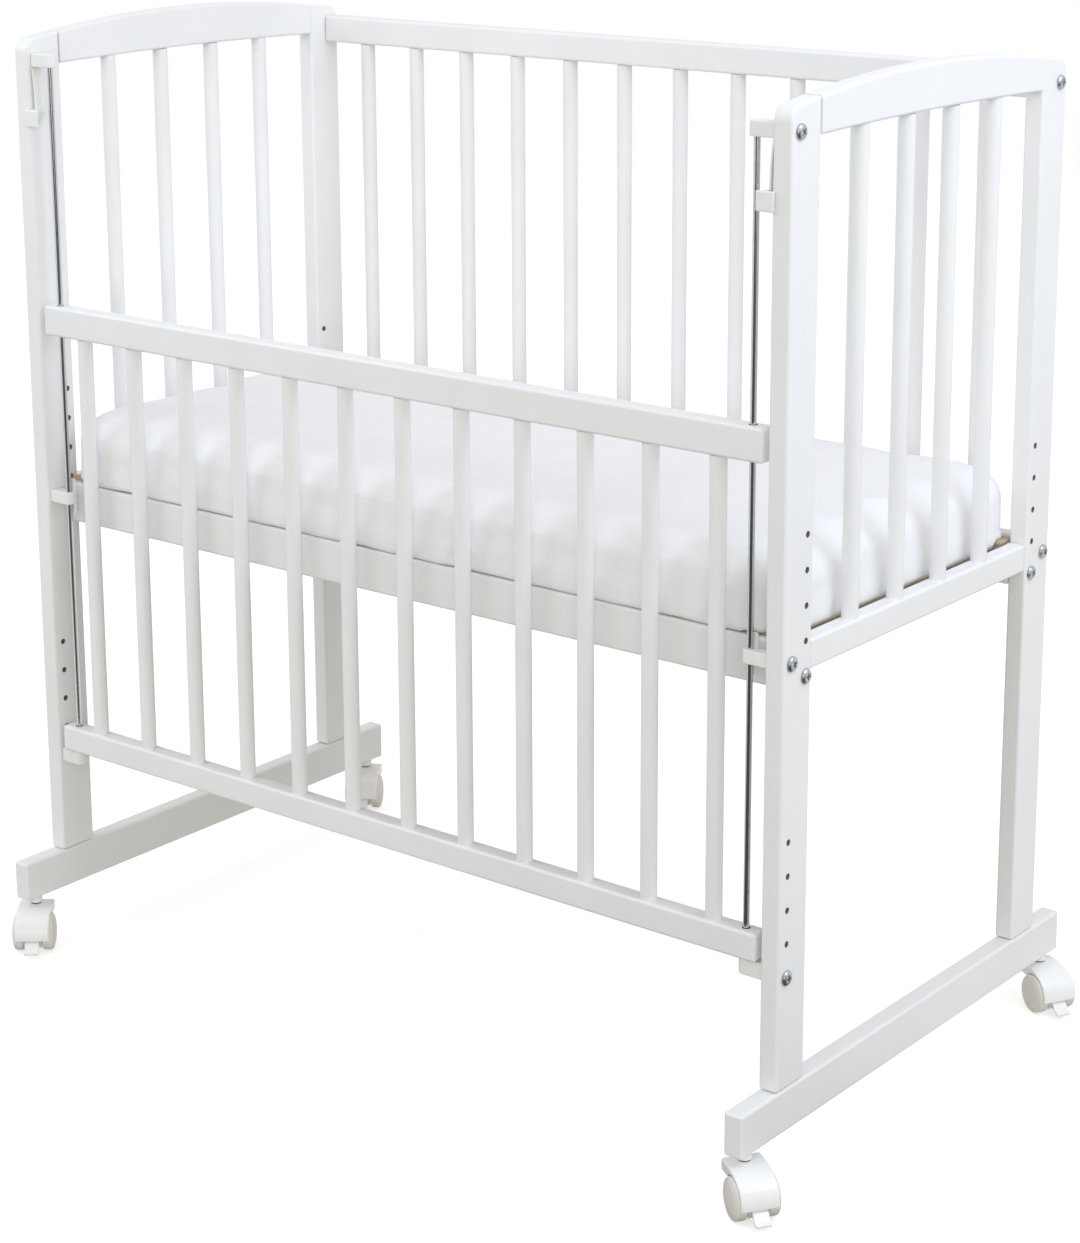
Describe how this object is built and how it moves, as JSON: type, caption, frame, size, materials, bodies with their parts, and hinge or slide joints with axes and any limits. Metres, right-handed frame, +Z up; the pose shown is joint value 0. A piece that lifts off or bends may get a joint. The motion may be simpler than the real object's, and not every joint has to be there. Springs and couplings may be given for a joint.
{
  "type": "bassinet",
  "caption": "White wooden bedside cot with spindle sides, a drop side on guide rods with spring latches, a mattress and braked twin-wheel casters.",
  "frame": {"origin": "on the floor, below the middle of the whole outline", "axes": "+X along the cot to the right seen from the drop side, +Y to the back fence, +Z up; the drop side is at -Y"},
  "size_m": [1.0196, 0.6126, 1.013],
  "materials": {
    "white_wood": "white satin lacquer",
    "raw_wood": "raw board",
    "cotton": "white cotton cover",
    "zinc": "zinc plated",
    "steel": "bright steel",
    "white_plastic": "white moulded plastic",
    "caster_plastic": "glossy white plastic",
    "wheel_plastic": "light beige-grey plastic tread"
  },
  "bodies": {
    "cot_frame": {"back_apron": "white_wood", "back_grille": "white_wood", "back_top_rail": "white_wood", "base_board": "raw_wood", "base_bolt_back_left": "zinc", "base_bolt_back_right": "zinc", "base_bolt_front_left": "zinc", "base_bolt_front_right": "zinc", "caster_stem_back_left": "steel", "caster_stem_back_right": "steel", "caster_stem_front_left": "steel", "caster_stem_front_right": "steel", "end_arch_rail_left": "white_wood", "end_arch_rail_right": "white_wood", "end_grille_left": "white_wood", "end_grille_right": "white_wood", "foot_bracket_left": "white_plastic", "foot_bracket_right": "white_plastic", "front_apron": "white_wood", "guide_rod_left": "steel", "guide_rod_right": "steel", "mattress": "cotton", "mid_guide_left": "white_plastic", "mid_guide_right": "white_plastic", "middle_bolt_back_left": "zinc", "middle_bolt_back_right": "zinc", "middle_bolt_front_left": "zinc", "middle_bolt_front_right": "zinc", "post_back_left": "white_wood", "post_back_right": "white_wood", "post_front_left": "white_wood", "post_front_right": "white_wood", "runner_left": "white_wood", "runner_right": "white_wood", "top_bolt_back_left": "zinc", "top_bolt_back_right": "zinc", "top_bolt_front_left": "zinc", "top_bolt_front_right": "zinc", "top_bracket_left": "white_plastic", "top_bracket_right": "white_plastic"},
    "drop_side": {"drop_side_top_rail": "white_wood", "drop_side_grille": "white_wood"},
    "left_latch": {"latch_left": "white_plastic"},
    "right_latch": {"latch_right": "white_plastic"},
    "front_left_caster": {"caster_hood_front_left": "caster_plastic"},
    "front_left_wheel_a": {"caster_wheel_front_left_a": "wheel_plastic"},
    "front_left_wheel_b": {"caster_wheel_front_left_b": "wheel_plastic"},
    "front_left_brake": {"caster_brake_front_left": "caster_plastic"},
    "front_right_caster": {"caster_hood_front_right": "caster_plastic"},
    "front_right_wheel_a": {"caster_wheel_front_right_a": "wheel_plastic"},
    "front_right_wheel_b": {"caster_wheel_front_right_b": "wheel_plastic"},
    "front_right_brake": {"caster_brake_front_right": "caster_plastic"},
    "back_left_caster": {"caster_hood_back_left": "caster_plastic"},
    "back_left_wheel_a": {"caster_wheel_back_left_a": "wheel_plastic"},
    "back_left_wheel_b": {"caster_wheel_back_left_b": "wheel_plastic"},
    "back_left_brake": {"caster_brake_back_left": "caster_plastic"},
    "back_right_caster": {"caster_hood_back_right": "caster_plastic"},
    "back_right_wheel_a": {"caster_wheel_back_right_a": "wheel_plastic"},
    "back_right_wheel_b": {"caster_wheel_back_right_b": "wheel_plastic"},
    "back_right_brake": {"caster_brake_back_right": "caster_plastic"}
  },
  "joints": [
    {"name": "drop_side_slide", "type": "slide", "parent": "cot_frame", "child": "drop_side", "axis": [0, 0, 1], "range_m": [0, 0.2397]},
    {"name": "latch_left_flex", "type": "hinge", "parent": "cot_frame", "child": "left_latch", "pos_m": [-0.4774, -0.21537, 0.9667], "axis": [0, 1, 0], "range_deg": [0, 4.35], "stiffness_Nm_per_rad": 0.3},
    {"name": "latch_right_flex", "type": "hinge", "parent": "cot_frame", "child": "right_latch", "pos_m": [0.45, -0.21537, 0.9667], "axis": [0, -1, 0], "range_deg": [0, 4.35], "stiffness_Nm_per_rad": 0.3},
    {"name": "caster_front_left_swivel", "type": "hinge", "parent": "cot_frame", "child": "front_left_caster", "pos_m": [-0.4887, -0.26087, 0.046], "axis": [0, 0, 1], "continuous": true},
    {"name": "wheel_front_left_a_roll", "type": "hinge", "parent": "front_left_caster", "child": "front_left_wheel_a", "pos_m": [-0.48887, -0.28712, 0.02], "axis": [0.766, 0.6428, 0], "continuous": true},
    {"name": "wheel_front_left_b_roll", "type": "hinge", "parent": "front_left_caster", "child": "front_left_wheel_b", "pos_m": [-0.46282, -0.26526, 0.02], "axis": [0.766, 0.6428, 0], "continuous": true},
    {"name": "brake_front_left_lift", "type": "hinge", "parent": "front_left_caster", "child": "front_left_brake", "pos_m": [-0.46522, -0.28886, 0.01526], "axis": [-0.766, -0.6428, 0], "range_deg": [0, 12]},
    {"name": "caster_front_right_swivel", "type": "hinge", "parent": "cot_frame", "child": "front_right_caster", "pos_m": [0.4613, -0.26087, 0.046], "axis": [0, 0, 1], "continuous": true},
    {"name": "wheel_front_right_a_roll", "type": "hinge", "parent": "front_right_caster", "child": "front_right_wheel_a", "pos_m": [0.46793, -0.28627, 0.02], "axis": [0.5736, 0.8192, 0], "continuous": true},
    {"name": "wheel_front_right_b_roll", "type": "hinge", "parent": "front_right_caster", "child": "front_right_wheel_b", "pos_m": [0.48743, -0.25842, 0.02], "axis": [0.5736, 0.8192, 0], "continuous": true},
    {"name": "brake_front_right_lift", "type": "hinge", "parent": "front_right_caster", "child": "front_right_brake", "pos_m": [0.49122, -0.28183, 0.01526], "axis": [-0.5736, -0.8192, 0], "range_deg": [0, 12]},
    {"name": "caster_back_left_swivel", "type": "hinge", "parent": "cot_frame", "child": "back_left_caster", "pos_m": [-0.4887, 0.28513, 0.046], "axis": [0, 0, 1], "continuous": true},
    {"name": "wheel_back_left_a_roll", "type": "hinge", "parent": "back_left_caster", "child": "back_left_wheel_a", "pos_m": [-0.49161, 0.25904, 0.02], "axis": [0.829, 0.5592, 0], "continuous": true},
    {"name": "wheel_back_left_b_roll", "type": "hinge", "parent": "back_left_caster", "child": "back_left_wheel_b", "pos_m": [-0.46343, 0.27805, 0.02], "axis": [0.829, 0.5592, 0], "continuous": true},
    {"name": "brake_back_left_lift", "type": "hinge", "parent": "back_left_caster", "child": "back_left_brake", "pos_m": [-0.46827, 0.25484, 0.01526], "axis": [-0.829, -0.5592, 0], "range_deg": [0, 12]},
    {"name": "caster_back_right_swivel", "type": "hinge", "parent": "cot_frame", "child": "back_right_caster", "pos_m": [0.4613, 0.28513, 0.046], "axis": [0, 0, 1], "continuous": true},
    {"name": "wheel_back_right_a_roll", "type": "hinge", "parent": "back_right_caster", "child": "back_right_wheel_a", "pos_m": [0.47012, 0.26041, 0.02], "axis": [0.5, 0.866, 0], "continuous": true},
    {"name": "wheel_back_right_b_roll", "type": "hinge", "parent": "back_right_caster", "child": "back_right_wheel_b", "pos_m": [0.48712, 0.28985, 0.02], "axis": [0.5, 0.866, 0], "continuous": true},
    {"name": "brake_back_right_lift", "type": "hinge", "parent": "back_right_caster", "child": "back_right_brake", "pos_m": [0.49294, 0.26686, 0.01526], "axis": [-0.5, -0.866, 0], "range_deg": [0, 12]}
  ]
}
